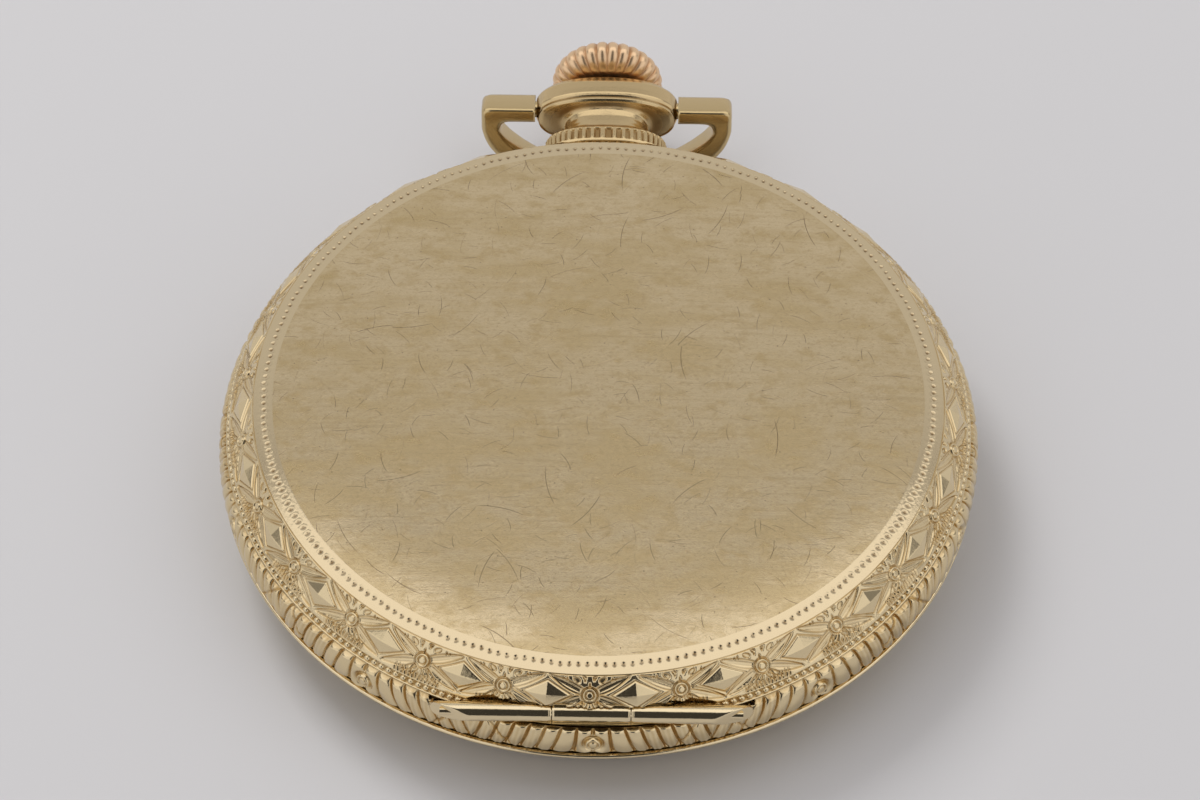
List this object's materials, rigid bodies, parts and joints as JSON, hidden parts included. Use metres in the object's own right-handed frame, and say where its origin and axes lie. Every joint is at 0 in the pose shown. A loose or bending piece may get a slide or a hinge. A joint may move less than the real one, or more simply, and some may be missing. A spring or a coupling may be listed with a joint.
{
  "type": "pocket watch",
  "caption": "Round open face pocket watch with stirrup bow, fluted crown, hinged engraved back, inner lid, crystal, dial, hands and geared movement.",
  "frame": {"origin": "middle of the crystal's flat outer face, on which the watch lies", "axes": "+Z out of the back cover, +Y towards the pendant and crown at twelve o'clock, the back's hinge on the -Y side"},
  "size_m": [0.0454, 0.0533, 0.0099],
  "materials": {
    "case_gold": "rolled gold plate, fine scratches",
    "steel": "polished",
    "blued_steel": "blued",
    "crystal_glass": "clear",
    "crown_gold": "rose gold plate",
    "nickel": "frosted nickel plate",
    "gilt_brass": "gilded",
    "dial_enamel": "enamel",
    "ruby": "polished jewel"
  },
  "bodies": {
    "case": {"centre_band": "case_gold", "back_hinge_pin": "steel", "cuvette_hinge_pin": "steel", "pendant": "case_gold", "pendant_sleeve": "steel", "main_plate": "nickel", "dial": "dial_enamel", "barrel_bridge": "nickel", "train_bridge": "nickel", "balance_cock": "nickel", "pallet_bridge": "nickel", "jewels": "ruby", "bridge_screws": "blued_steel", "case_screws": "steel", "click_screw": "blued_steel", "barrel_arbor": "steel", "mainspring": "blued_steel", "balance_spring": "blued_steel"},
    "back": {"back_cover": "case_gold"},
    "lid": {"cuvette": "case_gold"},
    "bezel": {"front_bezel": "case_gold", "crystal": "crystal_glass"},
    "bow": {"bow": "case_gold"},
    "winder": {"winding_arbor": "steel"},
    "crown": {"crown": "crown_gold", "stem": "steel"},
    "crown_wheel": {"crown_wheel": "steel"},
    "ratchet": {"ratchet_wheel": "steel"},
    "click": {"click": "steel"},
    "barrel": {"barrel": "gilt_brass", "barrel_cover": "gilt_brass"},
    "centre": {"centre_wheel": "gilt_brass", "cannon_pinion": "steel", "minute_hand": "blued_steel"},
    "third": {"third_wheel": "gilt_brass"},
    "fourth": {"fourth_wheel": "gilt_brass", "second_hand": "blued_steel"},
    "escape": {"escape_wheel": "steel"},
    "fork": {"pallet_fork": "steel"},
    "balance": {"balance_wheel": "gilt_brass", "balance_screws": "gilt_brass", "roller": "steel"},
    "regulator": {"regulator": "blued_steel"},
    "minute_work": {"minute_wheel": "gilt_brass"},
    "hour": {"hour_wheel": "gilt_brass", "hour_hand": "blued_steel"}
  },
  "joints": [
    {"name": "back_hinge", "type": "hinge", "parent": "case", "child": "back", "pos_m": [0, -0.0216, 0.00675], "axis": [1, 0, 0], "range_deg": [0, 100]},
    {"name": "lid_hinge", "type": "hinge", "parent": "case", "child": "lid", "pos_m": [0, -0.02085, 0.00725], "axis": [1, 0, 0], "range_deg": [0, 80]},
    {"name": "bezel_turn", "type": "hinge", "parent": "case", "child": "bezel", "pos_m": [0, 0, 0.002], "axis": [0, 0, 1], "continuous": true},
    {"name": "bow_hinge", "type": "hinge", "parent": "case", "child": "bow", "pos_m": [0, 0.0268, 0.0052], "axis": [1, 0, 0], "range_deg": [0, 225]},
    {"name": "winding", "type": "hinge", "parent": "case", "child": "winder", "pos_m": [0, 0.016, 0.0052], "axis": [0, 1, 0], "continuous": true},
    {"name": "crown_pull", "type": "slide", "parent": "winder", "child": "crown", "axis": [0, 1, 0], "range_m": [0, 0.0008]},
    {"name": "crown_wheel_turn", "type": "hinge", "parent": "case", "child": "crown_wheel", "pos_m": [0, 0.0134, 0.0075], "axis": [0, 0, 1], "continuous": true},
    {"name": "ratchet_turn", "type": "hinge", "parent": "case", "child": "ratchet", "pos_m": [-0.00521, 0.0062, 0.0075], "axis": [0, 0, 1], "continuous": true},
    {"name": "click_turn", "type": "hinge", "parent": "case", "child": "click", "pos_m": [-0.01181, 0.00961, 0.0075], "axis": [0, 0, 1], "range_deg": [0, 8]},
    {"name": "centre_turn", "type": "hinge", "parent": "case", "child": "centre", "pos_m": [0, 0, 0.005], "axis": [0, 0, 1], "continuous": true},
    {"name": "barrel_turn", "type": "hinge", "parent": "case", "child": "barrel", "pos_m": [-0.00521, 0.0062, 0.005], "axis": [0, 0, 1], "continuous": true},
    {"name": "third_turn", "type": "hinge", "parent": "case", "child": "third", "pos_m": [0.00433, -0.00517, 0.005], "axis": [0, 0, 1], "continuous": true},
    {"name": "fourth_turn", "type": "hinge", "parent": "case", "child": "fourth", "pos_m": [0, -0.0086, 0.005], "axis": [0, 0, 1], "continuous": true},
    {"name": "escape_turn", "type": "hinge", "parent": "case", "child": "escape", "pos_m": [-0.00433, -0.00936, 0.005], "axis": [0, 0, 1], "continuous": true},
    {"name": "fork_swing", "type": "hinge", "parent": "case", "child": "fork", "pos_m": [-0.00705, -0.00767, 0.005], "axis": [0, 0, 1], "range_deg": [-5, 5]},
    {"name": "balance_swing", "type": "hinge", "parent": "case", "child": "balance", "pos_m": [-0.011, -0.0052, 0.006], "axis": [0, 0, 1], "range_deg": [-270, 270]},
    {"name": "regulator_turn", "type": "hinge", "parent": "case", "child": "regulator", "pos_m": [-0.011, -0.0052, 0.0076], "axis": [0, 0, 1], "range_deg": [-12, 12]},
    {"name": "minute_work_turn", "type": "hinge", "parent": "case", "child": "minute_work", "pos_m": [0.0027, 0.00156, 0.0035], "axis": [0, 0, 1], "continuous": true},
    {"name": "hour_turn", "type": "hinge", "parent": "case", "child": "hour", "pos_m": [0, 0, 0.003], "axis": [0, 0, 1], "continuous": true}
  ],
  "couplings": [
    {"joint": "lid_hinge", "follows": "back_hinge", "ratio": 0.8},
    {"joint": "crown_wheel_turn", "follows": "winding", "ratio": -0.5},
    {"joint": "ratchet_turn", "follows": "winding", "ratio": 0.28846},
    {"joint": "escape_turn", "follows": "fourth_turn", "ratio": -10},
    {"joint": "third_turn", "follows": "fourth_turn", "ratio": -0.13333},
    {"joint": "centre_turn", "follows": "fourth_turn", "ratio": 0.016667},
    {"joint": "barrel_turn", "follows": "fourth_turn", "ratio": -0.0025641},
    {"joint": "minute_work_turn", "follows": "fourth_turn", "ratio": -0.0055556},
    {"joint": "hour_turn", "follows": "fourth_turn", "ratio": 0.0013889}
  ]
}
